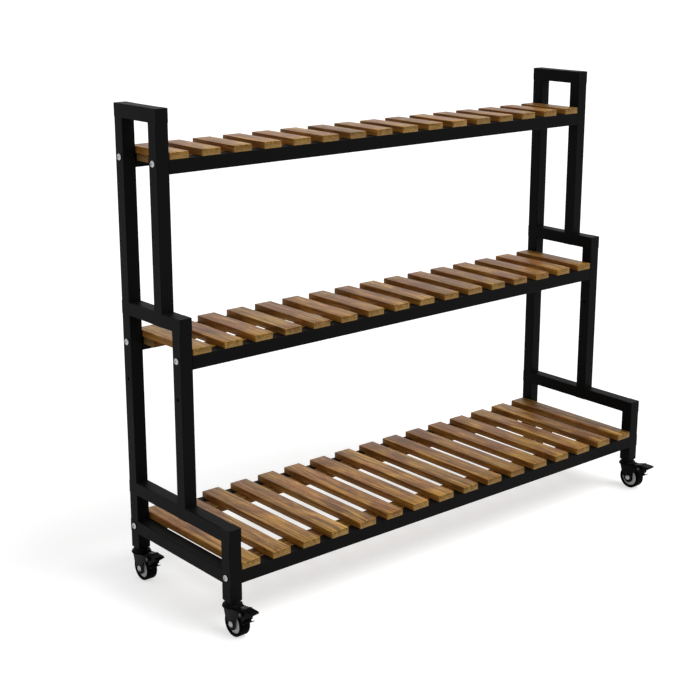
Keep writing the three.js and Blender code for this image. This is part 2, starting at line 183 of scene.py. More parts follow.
def strip_outline(path, thickness):
    """The outline of a bent strip along a path of (forwards, up) points."""
    points = [Vector(point) for point in path]
    one, other = [], []
    for index, point in enumerate(points):
        before = points[max(index - 1, 0)]
        after = points[min(index + 1, len(points) - 1)]
        along = (after - before).normalized()
        side = Vector((-along.y, along.x)) * thickness / 2
        one.append(tuple(point + side))
        other.append(tuple(point - side))
    return one + other[::-1]


# ---------------------------------------------------------------- material tools

class Shader:
    """A material on the Principled surface, and short calls for its nodes."""

    def __init__(self, name, roughness, metallic=0.0, specular=0.5):
        self.material = bpy.data.materials.new(name)
        self.material.use_nodes = True
        self.tree = self.material.node_tree
        self.surface = self.tree.nodes["Principled BSDF"]
        self.set("Roughness", roughness)
        self.set("Metallic", metallic)
        self.set("Specular IOR Level", specular)

    def put(self, socket, value):
        if isinstance(value, bpy.types.NodeSocket):
            self.tree.links.new(value, socket)
        else:
            socket.default_value = value

    def set(self, name, value):
        self.put(self.surface.inputs[name], value)

    def node(self, kind, inputs, **settings):
        made = self.tree.nodes.new(kind)
        for key, value in settings.items():
            setattr(made, key, value)
        for key, value in inputs.items():
            self.put(made.inputs[key], value)
        return made

    def vector(self, operation, first, second):
        return self.node("ShaderNodeVectorMath", {0: first, 1: second}, operation=operation).outputs[0]

    def scale(self, vector, factor):
        return self.node("ShaderNodeVectorMath", {0: vector, "Scale": factor}, operation="SCALE").outputs[0]

    def maths(self, operation, first, second=0.0):
        return self.node("ShaderNodeMath", {0: first, 1: second}, operation=operation).outputs[0]

    def coordinates(self):
        return self.node("ShaderNodeTexCoord", {}).outputs["Object"]

    def attribute(self, name):
        return self.node("ShaderNodeAttribute", {}, attribute_name=name).outputs["Vector"]

    def parts(self, vector):
        return self.node("ShaderNodeSeparateXYZ", {"Vector": vector}).outputs

    def noise(self, spot, scales, detail=3.0, roughness=0.5, distortion=0.0, output="Fac"):
        """Noise with its own scale along each axis."""
        return self.node("ShaderNodeTexNoise", {
            "Vector": self.vector("MULTIPLY", spot, scales), "Scale": 1.0, "Detail": detail,
            "Roughness": roughness, "Distortion": distortion}).outputs[output]

    def ramp(self, factor, stops):
        made = self.node("ShaderNodeValToRGB", {"Fac": factor})
        elements = made.color_ramp.elements
        while len(elements) < len(stops):
            elements.new(1.0)
        for element, (place, colour) in zip(elements, stops):
            element.position = place
            element.color = (*colour, 1.0)
        return made.outputs["Color"]

    def span(self, value, low, high, to_low=0.0, to_high=1.0):
        return self.node("ShaderNodeMapRange", {
            "Value": value, "From Min": low, "From Max": high,
            "To Min": to_low, "To Max": to_high}).outputs["Result"]

    def mix(self, factor, first, second):
        made = self.node("ShaderNodeMix", {}, data_type="RGBA")
        for index, value in ((0, factor), (6, first), (7, second)):
            self.put(made.inputs[index], (*value, 1.0) if isinstance(value, tuple) else value)
        return made.outputs[2]

    def bump(self, height, distance, strength):
        """Relief of a depth in millimetres."""
        self.set("Normal", self.node("ShaderNodeBump", {
            "Height": height, "Distance": distance * MM, "Strength": strength}).outputs["Normal"])


def times(colour, factor):
    return tuple(value * factor for value in colour)


def even(scale):
    return (scale, scale, scale)


def black_coat(name, base, roughness, specular, orange_peel):
    """Sprayed black, with slow changes in its sheen and the fine peel of a baked coat."""
    shader = Shader(name, roughness, specular=specular)
    spot = shader.coordinates()
    cloud = shader.noise(spot, even(9))
    shader.set("Base Color", shader.ramp(cloud, [(0.3, even(base)), (0.75, even(base * 1.5))]))
    shader.set("Roughness", shader.span(cloud, 0.3, 0.8, roughness - 0.05, roughness + 0.06))
    peel = shader.noise(spot, even(700), 2.0)
    shader.bump(peel, orange_peel, 0.4)
    return shader.material


def zinc(name, base, roughness):
    """Zinc plate, clouded, with fine handling scratches."""
    shader = Shader(name, roughness, metallic=1.0)
    spot = shader.coordinates()
    cloud = shader.noise(spot, even(260), 5.0, 0.6)
    tint = (1.0, 1.0, 1.015)
    dull, clean = times(tint, base * 0.7), times(tint, base)
    shader.set("Base Color", shader.ramp(cloud, [(0.3, dull), (0.7, clean)]))
    shader.set("Roughness", shader.span(cloud, 0.25, 0.8, roughness - 0.07, roughness + 0.12))
    scratches = shader.noise(spot, (300, 4000, 900))
    shader.bump(scratches, 0.04, 0.4)
    return shader.material


def rubber(name, base):
    """Solid tyre rubber with a trace of dust."""
    shader = Shader(name, 0.65, specular=0.02)
    spot = shader.coordinates()
    dust = shader.noise(spot, even(220), 6.0, 0.65)
    shader.set("Base Color", shader.ramp(dust, [(0.42, even(base)), (0.85, even(base * 2.5))]))
    shader.set("Roughness", shader.span(dust, 0.3, 0.8, 0.58, 0.8))
    shader.bump(shader.noise(spot, even(2400), 2.0), 0.08, 0.5)
    return shader.material


def nylon(name, base, roughness, specular):
    """Moulded nylon."""
    shader = Shader(name, roughness, specular=specular)
    spot = shader.coordinates()
    cloud = shader.noise(spot, even(130), 4.0)
    shader.set("Base Color", shader.ramp(cloud, [(0.3, even(base * 0.86)), (0.7, even(base))]))
    shader.set("Roughness", shader.span(cloud, 0.3, 0.7, roughness - 0.06, roughness + 0.08))
    shader.bump(shader.noise(spot, even(1800), 2.0), 0.05, 0.4)
    return shader.material


RING_GAP = 3.0               # one year's growth
WAVE_TURN = 20.0             # radians in a ring texture for one unit of radius at scale 1
OIL_TINT = (1.0, 0.55, 0.15)  # the oil's sheen, seen from above
HEART_WANDER = 9.0           # how far the log's heart strays sideways along a board


def wood(name, late, early, pale, burnt, roughness, specular, streaks):
    """Burnt and oiled softwood, cut from a log that lies along Y.

    Each mesh says where its board sat in the log, its warmth, flecks and shade, and how far
    a point is from the rear end and from an eased edge, along which a highlight is painted.
    """
    shader = Shader(name, roughness, specular=specular)
    shader.set("Specular Tint", (*OIL_TINT, 1.0))
    spot = shader.vector("ADD", shader.coordinates(), shader.attribute("place_in_log"))
    warmth, flecks, shade = shader.parts(shader.attribute("board_tint"))[:]
    forward, edge, _ = shader.parts(shader.attribute("place_and_edge_highlight"))[:]

    stray = shader.noise(spot, (0, 3.0, 0), 2.0, output="Color")
    centred = shader.vector("SUBTRACT", stray, even(0.5))
    reach = 2 * HEART_WANDER * MM
    bent = shader.vector("ADD", spot, shader.vector("MULTIPLY", centred, (reach, 0, reach)))
    rings = shader.node("ShaderNodeTexWave", {
        "Vector": shader.vector("MULTIPLY", bent, (1, 0.06, 1)),
        "Scale": 2 * math.pi / (WAVE_TURN * RING_GAP * MM), "Distortion": 0.9, "Detail": 3.0,
        "Detail Scale": 1.6}, wave_type="RINGS", rings_direction="Y", wave_profile="SIN").outputs["Fac"]
    grown = shader.ramp(rings, [(0.0, pale), (0.45, early), (0.95, late)])
    clear = shader.span(shader.noise(spot, (30, 5, 30)), 0.36, 0.62, 0.1, 0.8)
    figure = shader.mix(clear, early, grown)

    band = shader.noise(spot, (150, 6.5, 150), 5.0, 0.68, 0.35)
    banded = shader.scale(figure, shader.span(band, 0.37, 0.63, 0.42, 1.55))
    fibre = shader.noise(spot, (800, 24, 800), 5.0, 0.66)
    fibred = shader.scale(banded, shader.span(fibre, 0.32, 0.68, 1.0 - streaks, 1.0 + streaks * 0.8))
    vein = shader.noise(spot, (330, 9, 330), 3.0, 0.6, 0.4)
    smoked = shader.mix(shader.span(vein, 0.56, 0.67, 0.0, 0.85), fibred, burnt)

    patch = shader.noise(spot, (22, 10, 22), 4.0, 0.62, 0.5)
    lean = shader.maths("SUBTRACT", patch, shader.span(forward, 0.6, 1.0, 0.0, 0.1))
    mauve = shader.vector("MULTIPLY", smoked, (0.66, 0.5, 0.56))
    golden = shader.vector("MULTIPLY", smoked, (1.22, 1.27, 0.95))
    toned = shader.mix(shader.span(lean, 0.37, 0.57), golden, mauve)
    warmed = shader.mix(warmth, toned, shader.vector("MULTIPLY", toned, (1.07, 0.97, 0.86)))

    slant = shader.node("ShaderNodeVectorRotate", {"Vector": spot, "Angle": 0.6}, rotation_type="Z_AXIS")
    marks = shader.noise(slant.outputs[0], (420, 130, 420), 1.0, 0.4, 1.2)
    marked = shader.maths("MULTIPLY", shader.span(marks, 0.66, 0.71), flecks)
    flecked = shader.mix(marked, warmed, times(pale, 1.5))
    # painted highlight: the colour is lightened towards pale along the eased edges
    eased = shader.mix(shader.maths("MULTIPLY", edge, 0.6), flecked, times(pale, 1.15))
    shader.set("Base Color", shader.scale(eased, shade))
    shader.set("Roughness", shader.span(fibre, 0.3, 0.7, roughness + 0.08, roughness - 0.06))
    shader.bump(shader.maths("ADD", fibre, shader.maths("MULTIPLY", rings, -0.3)), 0.35, 0.5)
    return shader.material


FRAME_BLACK = black_coat("black_powder_coat", 0.0028, 0.5, 0.036, 0.1)
CASTER_BLACK = black_coat("caster_black_enamel", 0.0025, 0.42, 0.03, 0.05)
SCREW_ZINC = zinc("zinc_plated_screw", 0.5, 0.32)
CASTER_ZINC = zinc("zinc_plated_caster", 0.36, 0.34)
RIVET_STEEL = zinc("dull_rivet_steel", 0.12, 0.42)
PIN_STEEL = zinc("oiled_pin_steel", 0.085, 0.42)
TYRE_RUBBER = rubber("tyre_rubber", 0.001)
CORE_NYLON = nylon("light_grey_nylon", 0.72, 0.45, 0.4)
PLUG_NYLON = nylon("black_nylon", 0.004, 0.5, 0.08)
WOOD_FACE = wood("wood_face", (0.13, 0.058, 0.012), (0.27, 0.135, 0.033), (0.43, 0.24, 0.07),
                 (0.055, 0.024, 0.006), 0.42, 0.5, 0.45)
WOOD_SIDE = wood("wood_side", (0.12, 0.046, 0.008), (0.26, 0.112, 0.022), (0.43, 0.205, 0.048),
                 (0.045, 0.018, 0.004), 0.5, 0.25, 0.45)
WOOD_END = wood("wood_end", (0.05, 0.025, 0.007), (0.13, 0.07, 0.022), (0.4, 0.25, 0.095),
                (0.025, 0.012, 0.004), 0.6, 0.35, 0.55)



# ---------------------------------------------------------------- frame and rails

def cleaned_copy(node, name, material):
    """A CAD node's own shape without its triangles' inner edges, smooth where it is rounded."""
    bm = bmesh.new()
    bm.from_mesh(bpy.data.objects[node].data)
    bmesh.ops.remove_doubles(bm, verts=bm.verts, dist=1e-6)
    bmesh.ops.dissolve_limit(bm, angle_limit=math.radians(0.5), verts=bm.verts, edges=bm.edges)
    bm.transform(Matrix.Scale(1 / MM, 4))
    mesh = finish_mesh(bm, name, [material], sharp=50.0)
    weigh_flats(add_piece(name, mesh, "stand", node))


for side in SIDES:
    cleaned_copy(f"{side}_side_frame", f"{side}_welded_frame", FRAME_BLACK)
for shelf in SHELVES:
    for row in ROWS:
        cleaned_copy(f"{shelf}_{row}_rail", f"{shelf}_{row}_tube", FRAME_BLACK)


# ---------------------------------------------------------------- slats and battens

SLAT_COUNT = 16
SLAT_WIDTH = 39.0
SLAT_THICKNESS = 12.0
BATTEN_WIDTH = 35.0
BATTEN_CLEARANCE = 1.0       # rail to batten
BATTEN_PAINTED_SHADE = 0.62          # battens are darkened against the slats: painted shade under the slats
EASED = 1.3                  # radius of a board's planed edges
LOWER_EASED = 0.2            # and of those round its underside
SEAT = 0.25                  # how far a slat reaches down to touch its rails
MOST_BOW = 0.22              # how far a board's ends and middle may drop
MOST_CUP = 0.06
CUTS = 9                     # strips along a board, so that its bow is a curve
RIM_HIGHLIGHT_REACH = 0.7 * EASED      # how far the painted highlight along an eased edge reaches in
HEART_ASIDE = 55.0           # a board lies at most this far to one side of its log's heart
HEART_BELOW = (35.0, 110.0)  # and this far above it
LOG_REACH = 8000.0           # each board comes from its own stretch of a long log
FLECK_LEVELS = (0.0, 0.0, 0.1, 0.35)
SHADE_SPREAD = 0.12          # boards differ in brightness by this share


def planed_board(width, length, thickness, chance):
    """A board along Y with eased edges, slightly bowed and cupped on top."""
    bm = bmesh.new()
    bmesh.ops.create_cube(bm, size=1.0)
    bmesh.ops.scale(bm, vec=(width, length, thickness), verts=bm.verts)
    lower = [edge for edge in bm.edges if all(vert.co.z < 0 for vert in edge.verts)]
    upper = [edge for edge in bm.edges if edge not in lower]
    bmesh.ops.bevel(bm, geom=upper, offset=EASED, segments=4, profile=0.5, affect="EDGES")
    underside = min(bm.faces, key=lambda face: face.normal.z)
    bmesh.ops.bevel(bm, geom=underside.edges[:], offset=LOWER_EASED, segments=2, profile=0.5,
                    affect="EDGES")
    for step in range(1, CUTS):
        cut = (step / CUTS - 0.5) * (length - 4 * EASED)
        bmesh.ops.bisect_plane(bm, geom=bm.verts[:] + bm.edges[:] + bm.faces[:],
                               plane_co=(0, cut, 0), plane_no=(0, 1, 0))
    bow = chance.uniform(0.0, MOST_BOW)
    cup = chance.uniform(0.0, MOST_CUP)
    for vert in bm.verts:
        if vert.co.z > 0:
            along = 2 * vert.co.y / length
            across = 2 * vert.co.x / width
            vert.co.z -= bow * along ** 2 + cup * (1 - abs(across))
    return bm


def board(name, width, length, thickness, seed, shade=1.0):
    """A board with its place in the log and its tint written on its points."""
    chance = random.Random(seed)
    bm = planed_board(width, length, thickness, chance)
    upright, end_on = 0.7, 0.7
    for face in bm.faces:
        if abs(face.normal.y) > end_on:
            face.material_index = 2
        elif abs(face.normal.z) < upright:
            face.material_index = 1
    mesh = finish_mesh(bm, name, [WOOD_FACE, WOOD_SIDE, WOOD_END], sharp=50.0)
    log = mesh.attributes.new("place_in_log", "FLOAT_VECTOR", "POINT")
    tint = mesh.attributes.new("board_tint", "FLOAT_VECTOR", "POINT")
    where = mesh.attributes.new("place_and_edge_highlight", "FLOAT_VECTOR", "POINT")
    aside = chance.uniform(-HEART_ASIDE, HEART_ASIDE)
    along = chance.uniform(-LOG_REACH, LOG_REACH)
    above = chance.uniform(*HEART_BELOW)
    from_heart = Vector((aside, along, above)) * MM
    warmth = chance.uniform(0.0, 1.0)
    flecks = chance.choice(FLECK_LEVELS)
    board_shade = shade * chance.uniform(1 - SHADE_SPREAD, 1 + SHADE_SPREAD)
    half = Vector((width, length, thickness)) / 2
    for index, vert in enumerate(mesh.vertices):
        spot = vert.co / MM
        inset = sorted(half[axis] - abs(spot[axis]) for axis in range(3))
        # strength of the painted highlight along the eased edges, fading inwards
        rim = max(0.0, 1.0 - inset[1] / RIM_HIGHLIGHT_REACH)
        log.data[index].vector = from_heart
        tint.data[index].vector = (warmth, flecks, board_shade)
        where.data[index].vector = (0.5 - spot.y / length, rim, 0.0)
    return mesh


for tier, shelf in enumerate(SHELVES):
    deck_low, deck_high = box(f"{shelf}_shelf_deck")
    length = deck_high.y - deck_low.y
    pitch = (deck_high.x - deck_low.x - SLAT_WIDTH) / (SLAT_COUNT - 1)
    slat_middle = deck_high.z - (SLAT_THICKNESS + SEAT) / 2
    for index in range(SLAT_COUNT):
        name = f"{shelf}_slat_{index + 1:02d}"
        mesh = board(name, SLAT_WIDTH, length, SLAT_THICKNESS + SEAT, 1000 * tier + index)
        place = (deck_low.x + SLAT_WIDTH / 2 + index * pitch, (deck_low.y + deck_high.y) / 2, slat_middle)
        add_piece(name, mesh, "stand", f"{shelf}_shelf_deck", place)
    batten_thickness = deck_high.z - SLAT_THICKNESS - deck_low.z
    reach = BATTEN_CLEARANCE + BATTEN_WIDTH / 2
    lines = {"front": box(f"{shelf}_front_rail")[1].y + reach,
             "rear": box(f"{shelf}_rear_rail")[0].y - reach}
    for order, row in enumerate(ROWS):
        name = f"{shelf}_{row}_batten"
        # battens get a darker shade factor: painted shade under the slats
        mesh = board(name, BATTEN_WIDTH, deck_high.x - deck_low.x, batten_thickness,
                     500 + 10 * tier + order, BATTEN_PAINTED_SHADE)
        place = (0.0, lines[row], deck_low.z + batten_thickness / 2)
        add_piece(name, mesh, "stand", f"{shelf}_shelf_deck", place, turn=90.0)


# ---------------------------------------------------------------- screws

SHANK_RADIUS = 3.0
SHANK_CHAMFER = 0.7
SOCKET_RADIUS = 2.0          # across the flats, halved
SOCKET_MOUTH = 2.75
SOCKET_DEPTH = 1.6
HEAD_EDGE = 0.4              # straight edge under the dome
HEAD_UNDERSIDE = box("right_side_frame")[1].x + FIT


def button_screw(name, facing):
    """Button head with a hexagon socket, pointing along X towards one side."""
    low, high = box("bottom_front_right_screw")
    head_radius = (high.z - low.z) / 2
    head_height = high.x - HEAD_UNDERSIDE
    tip = low.x - HEAD_UNDERSIDE
    segments = 48
    crown = head_height - HEAD_EDGE
    dome = [(head_radius * math.cos(math.radians(angle)), HEAD_EDGE + crown * math.sin(math.radians(angle)))
            for angle in range(0, 58, 6)]
    brim = [(SOCKET_MOUTH + 0.5, head_height - 0.02), (SOCKET_MOUTH, head_height - 0.15)]
    shank = [(0.0, tip), (SHANK_RADIUS - SHANK_CHAMFER, tip), (SHANK_RADIUS, tip + SHANK_CHAMFER),
             (SHANK_RADIUS, 0.0), (head_radius - 0.2, 0.0), (head_radius, 0.2)]
    bm = bmesh.new()
    lathe(bm, shank + dome + brim, segments=segments)
    bm.verts.ensure_lookup_table()
    rim = bm.verts[-segments:]
    hexagon = []
    for index in range(segments):
        angle = 2 * math.pi * index / segments
        off_flat = (angle + math.pi / 6) % (math.pi / 3) - math.pi / 6
        radius = SOCKET_RADIUS / math.cos(off_flat)
        hexagon.append((radius * math.cos(angle), radius * math.sin(angle)))
    mouth = [bm.verts.new((x, y, head_height - 0.2)) for x, y in hexagon]
    ground = [bm.verts.new((x, y, head_height - SOCKET_DEPTH)) for x, y in hexagon]
    drill_point = bm.verts.new((0.0, 0.0, head_height - SOCKET_DEPTH - 0.4))
    for index in range(segments):
        after = (index + 1) % segments
        bm.faces.new((rim[index], rim[after], mouth[after], mouth[index]))
        bm.faces.new((mouth[index], mouth[after], ground[after], ground[index]))
        bm.faces.new((ground[index], ground[after], drill_point))
    bm.transform(Matrix.Rotation(facing * math.pi / 2, 4, "Y"))
    return finish_mesh(bm, name, [SCREW_ZINC], sharp=45.0)


screw_meshes = {side: button_screw(f"button_screw_{side}", facing) for side, facing in SIDES.items()}
for shelf in SHELVES:
    for row in ROWS:
        for side, facing in SIDES.items():
            corner = f"{shelf}_{row}_{side}"
            node = f"{corner}_screw"
            place = centre(node)
            place.x = facing * HEAD_UNDERSIDE
            add_piece(f"{corner}_button_screw", screw_meshes[side], "stand", node, place)


# ---------------------------------------------------------------- caster measures

# All four casters are alike. They are measured on the front left one, from the floor
# under its swivel axis, and its pieces are drawn there: outlines run forwards and up.
POST = centre("front_left_stem_plug")
POST.z = 0.0


def from_post(node):
    low, high = box(f"front_left_{node}")
    return low - POST, high - POST


stem_low, stem_high = from_post("swivel_stem")
pedal_low, pedal_high = from_post("brake_pedal")
shoe_low = from_post("brake_shoe")[0]
AXLE = centre("front_left_tyre") - POST
PIN = centre("front_left_pedal_pin") - POST
TRAIL, AXLE_HEIGHT = -AXLE.y, AXLE.z
PIN_REACH, PIN_HEIGHT = -PIN.y, PIN.z
WHEEL_RADIUS = size("front_left_tyre").z / 2
WHEEL_SIDE = size("front_left_tyre").x / 2
CORE_RADIUS = size("front_left_wheel_core").z / 2
HUB_END = size("front_left_wheel_core").x / 2
FORK_RADIUS = size("front_left_fork").x / 2
FOOT = from_post("stem_plug")[0].z
LEG_INNER = HUB_END + FIT
LEG_SHEET, PLATE_SHEET = 2.0, 1.9
LEG_OUTER = LEG_INNER + LEG_SHEET
KINGPIN_HEAD = 1.0           # thickness of the kingpin's head, under the fork plate
PLATE_BOTTOM = stem_low.z + KINGPIN_HEAD + FIT
PLATE_TOP = PLATE_BOTTOM + PLATE_SHEET
AXLE_RADIUS, PIN_RADIUS = 3.5, 2.0


# ---------------------------------------------------------------- casters

def stem_mesh():
    """Threaded stem, upper race and kingpin, turned in one piece."""
    race, shank, neck, threads = stem_high.x, 5.0, 13.8, 4.0
    race_bottom = PLATE_TOP + FIT
    top = FOOT - FIT
    bm = bmesh.new()
    lathe(bm, soften([
        (0.0, stem_low.z), (6.5, stem_low.z), (6.5, stem_low.z + KINGPIN_HEAD),
        (shank, stem_low.z + KINGPIN_HEAD), (shank, race_bottom),
        (race - 0.2, race_bottom), (race, race_bottom + 1.0), (race - 1.2, race_bottom + 2.4),
        (neck + 0.8, race_bottom + 3.0), (neck, FOOT - 1.5), (neck - 3.0, top),
        (threads, top), (threads, stem_high.z - 1.0), (threads - 1.0, stem_high.z), (0.0, stem_high.z),
    ], 0.6, closed=False), segments=72)
    return finish_mesh(bm, "swivel_race", [CASTER_BLACK])


LEG_END = 11.4               # radius of a leg's round end, about the axle
LEG_FRONT, LEG_BACK = 18.0, -8.5
EAR = 5.0                    # radius about the pedal's pin
THROAT = 6.0                 # radius between a leg's front edge and its ear


def fork_mesh():
    """Pressed fork: a dished plate that turns in the race, and two legs with an ear for the pin."""
    bore, groove_in, groove_out = 5.3, 8.6, 12.2
    rim = FORK_RADIUS
    bm = bmesh.new()
    closed_lathe(bm, soften([
        (bore, PLATE_BOTTOM), (rim - 1.7, PLATE_BOTTOM), (rim - 0.3, PLATE_BOTTOM - 0.2),
        (rim, PLATE_BOTTOM + 0.6), (rim - 0.3, PLATE_TOP - 0.4), (rim - 1.9, PLATE_TOP),
        (groove_out + 0.8, PLATE_TOP), (groove_out, PLATE_TOP - 0.4),
        (groove_in, PLATE_TOP - 0.4), (groove_in - 0.7, PLATE_TOP), (bore, PLATE_TOP),
    ], 0.4, 2), segments=72)
    outline = [
        *arc(TRAIL, AXLE_HEIGHT, LEG_END, -180, 0, 24),
        *arc(TRAIL + LEG_END + THROAT, AXLE_HEIGHT + LEG_END, THROAT, 180, 128, 4),
        *arc(PIN_REACH, PIN_HEIGHT, EAR, -70, 100, 14),
        (LEG_FRONT + 12.0, PIN_HEIGHT + 3.2), (LEG_FRONT, PLATE_TOP - 0.3), (LEG_BACK, PLATE_TOP - 0.3),
        (LEG_BACK, PLATE_BOTTOM - 3.0), (LEG_BACK + 1.9, PLATE_BOTTOM - 9.0),
        (LEG_BACK + 4.1, AXLE_HEIGHT + 9.0),
    ]
    for low, high in ((-LEG_OUTER, -LEG_INNER), (LEG_INNER, LEG_OUTER)):
        plate(bm, outline, low, high, rim=0.45)
    return finish_mesh(bm, "pressed_fork", [CASTER_BLACK])


def headed_rod(name, radius, node, material):
    """A rod through both fork legs with a domed head at each end."""
    measured = size(f"front_left_{node}")
    head_radius = measured.z / 2
    under = LEG_OUTER + FIT
    edge = 0.3
    crown = measured.x / 2 - under - edge
    head = [(radius, under), (head_radius - 0.2, under), (head_radius, under + edge)]
    for angle in range(10, 81, 10):
        turn = math.radians(angle)
        head.append((head_radius * math.cos(turn), under + edge + crown * math.sin(turn)))
    head.append((0.0, measured.x / 2))
    bm = bmesh.new()
    lathe(bm, [(reach, -along) for reach, along in reversed(head)] + head, axis="X", segments=48)
    return finish_mesh(bm, name, [material])


CORE_INSET = 2.6             # core's disc, in from the tyre's sides


def core_mesh():
    """Wheel core: a hub, and a flat disc that is set into the tyre and stepped at its hub and rim."""
    bore, hub, disc = AXLE_RADIUS + FIT, 7.5, WHEEL_SIDE - CORE_INSET
    half = [(bore, HUB_END), (hub - 0.3, HUB_END), (hub, HUB_END - 0.4), (hub + 0.1, disc - 0.1),
            (hub + 0.5, disc - 0.5), (hub + 1.3, disc - 0.5), (hub + 1.8, disc - 0.1), (hub + 2.4, disc),
            (CORE_RADIUS - 1.5, disc), (CORE_RADIUS - 1.2, disc - 0.3), (CORE_RADIUS, disc - 0.4)]
    bm = bmesh.new()
    closed_lathe(bm, soften(half + [(reach, -along) for reach, along in reversed(half)], 0.25, 2),
                 axis="X", segments=96)
    return finish_mesh(bm, "wheel_core", [CORE_NYLON])


def tyre_mesh():
    """Solid tyre with a rounded shoulder and a fine groove round each side."""
    bore, shoulder = CORE_RADIUS + FIT, 2.1
    bead = [(bore, WHEEL_SIDE - 0.7), (bore + 0.5, WHEEL_SIDE - 0.15), (bore + 1.2, WHEEL_SIDE - 0.1),
            (bore + 1.5, WHEEL_SIDE - 0.4), (bore + 2.0, WHEEL_SIDE)]
    tread = [*arc(WHEEL_RADIUS - shoulder, WHEEL_SIDE - shoulder, shoulder, 90, 0, 6),
             (WHEEL_RADIUS, WHEEL_SIDE * 0.4), (WHEEL_RADIUS, 0.0)]
    half = bead + tread
    far_half = [(reach, -along) for reach, along in reversed(half[:-1])]
    bm = bmesh.new()
    closed_lathe(bm, half + far_half, axis="X", segments=128)
    return finish_mesh(bm, "solid_tyre", [TYRE_RUBBER])


PEDAL_ROOT, PEDAL_TIP = -pedal_high.y, -pedal_low.y
ROOT_TOP = PIN_HEIGHT + 2.8
RIDGE, RIDGE_TOP = PIN_REACH + 2.4, pedal_high.z
TREAD_TOP = PIN_HEIGHT + 8.0
SKIN = 2.0                   # pedal's sheet thickness
PEDAL_HALF = size("front_left_brake_pedal").x / 2
APRON_FRONT, APRON_FOOT = PIN_REACH + 5.3, pedal_low.z


def pedal_top(reach):
    """Height of the pedal's rear slope, which runs from its root up to the ridge."""
    return ROOT_TOP + (reach - PEDAL_ROOT) * (RIDGE_TOP - ROOT_TOP) / (RIDGE - PEDAL_ROOT)


def pedal_mesh():
    """Foot pedal: a pressed top with a ridge and a flat tread, over two side skirts and an apron."""
    half = PEDAL_HALF
    inside_skin = 0.1        # how far the apron stays inside the skirts' faces
    top = soften([
        (PEDAL_ROOT, ROOT_TOP - SKIN), (PEDAL_ROOT, ROOT_TOP), (RIDGE - 1.6, RIDGE_TOP - 0.4),
        (RIDGE, RIDGE_TOP), (RIDGE + 1.4, RIDGE_TOP - 0.5), (RIDGE + 3.0, TREAD_TOP - 0.3),
        (PEDAL_TIP - 3.0, TREAD_TOP), (PEDAL_TIP - 0.3, TREAD_TOP - 1.4),
        (PEDAL_TIP - 0.7, TREAD_TOP - 3.3), (PEDAL_TIP - 3.7, TREAD_TOP - 2.2),
        (RIDGE + 3.2, TREAD_TOP - 2.4), (RIDGE, RIDGE_TOP - SKIN),
    ], 0.8)
    skirt = soften([
        (PEDAL_ROOT + 0.6, ROOT_TOP - 1.8), (PIN_REACH - 4.0, PIN_HEIGHT - 5.5),
        (PIN_REACH - 0.4, APRON_FOOT + 0.2), (APRON_FRONT, APRON_FOOT),
        (APRON_FRONT, PIN_HEIGHT - 8.5), (PIN_REACH + 7.4, PIN_HEIGHT - 6.5),
        (PEDAL_TIP - 1.3, TREAD_TOP - 3.6), (PEDAL_TIP - 1.1, TREAD_TOP - 2.6),
        (RIDGE + 3.0, TREAD_TOP - 1.2), (RIDGE, RIDGE_TOP - 1.0),
    ], 1.6)
    apron_back, apron_face = APRON_FRONT - SKIN, APRON_FRONT - inside_skin
    apron_top = TREAD_TOP - 1.5
    apron = [(apron_back, APRON_FOOT), (apron_face, APRON_FOOT),
             (apron_face, apron_top), (apron_back, apron_top)]
    bm = bmesh.new()
    plate(bm, top, -half, half, rim=0.5)
    for low, high in ((-half, SKIN - half), (half - SKIN, half)):
        plate(bm, skirt, low, high, rim=0.35)
    plate(bm, apron, inside_skin - half, half - inside_skin, rim=0.35)
    return finish_mesh(bm, "foot_pedal", [CASTER_BLACK])


RIVET_REACH = PIN_REACH - 11.6
STRIP = 1.4                  # shoe's sheet thickness


def shoe_mesh():
    """Bent brake shoe with a release lip. It hangs from a rivet under the pedal."""
    narrow = PEDAL_HALF - SKIN - FIT
    under = SKIN + FIT + STRIP / 2
    root, bend = PEDAL_ROOT + 3.0, PIN_REACH - 5.4
    heel = shoe_low.z + STRIP / 2
    lip = -shoe_low.y - STRIP / 3
    hanger = [
        (root, pedal_top(root) - under), (bend - 1.5, pedal_top(bend - 1.5) - under),
        (bend - 0.2, pedal_top(bend) - under - 0.6), (bend, PIN_HEIGHT - 6.5),
        (bend + 0.3, PIN_HEIGHT - 8.5),
    ]
    face_and_lip = [
        (bend + 0.1, PIN_HEIGHT - 8.0), (PIN_REACH - 2.2, PIN_HEIGHT - 13.5),
        (PIN_REACH + 0.5, heel + 2.3), (PIN_REACH + 1.9, heel + 0.7), (PIN_REACH + 3.9, heel + 1.2),
        (lip, heel + 5.2),
    ]
    top = pedal_top(RIVET_REACH) + FIT
    tail, shank, head, rise = top - 5.0, 1.6, 2.9, 0.9
    under_head, brim = top + 0.4, top + 0.6
    dome = [(head * math.cos(math.radians(angle)), brim + rise * math.sin(math.radians(angle)))
            for angle in range(0, 90, 15)]
    rivet = [(0.0, tail), (shank, tail), (shank, under_head), (head - 0.1, under_head), *dome,
             (0.0, brim + rise)]
    bm = bmesh.new()
    plate(bm, strip_outline(hanger, STRIP), -narrow, narrow, rim=0.3)
    plate(bm, strip_outline(face_and_lip, STRIP), -PEDAL_HALF, PEDAL_HALF, rim=0.3)
    lathe(bm, rivet, segments=32, middle=(0.0, -RIVET_REACH, 0.0))
    for face in bm.faces:
        if face.calc_center_median().z > top:
            face.material_index = 1
    return finish_mesh(bm, "brake_shoe", [CASTER_BLACK, RIVET_STEEL])


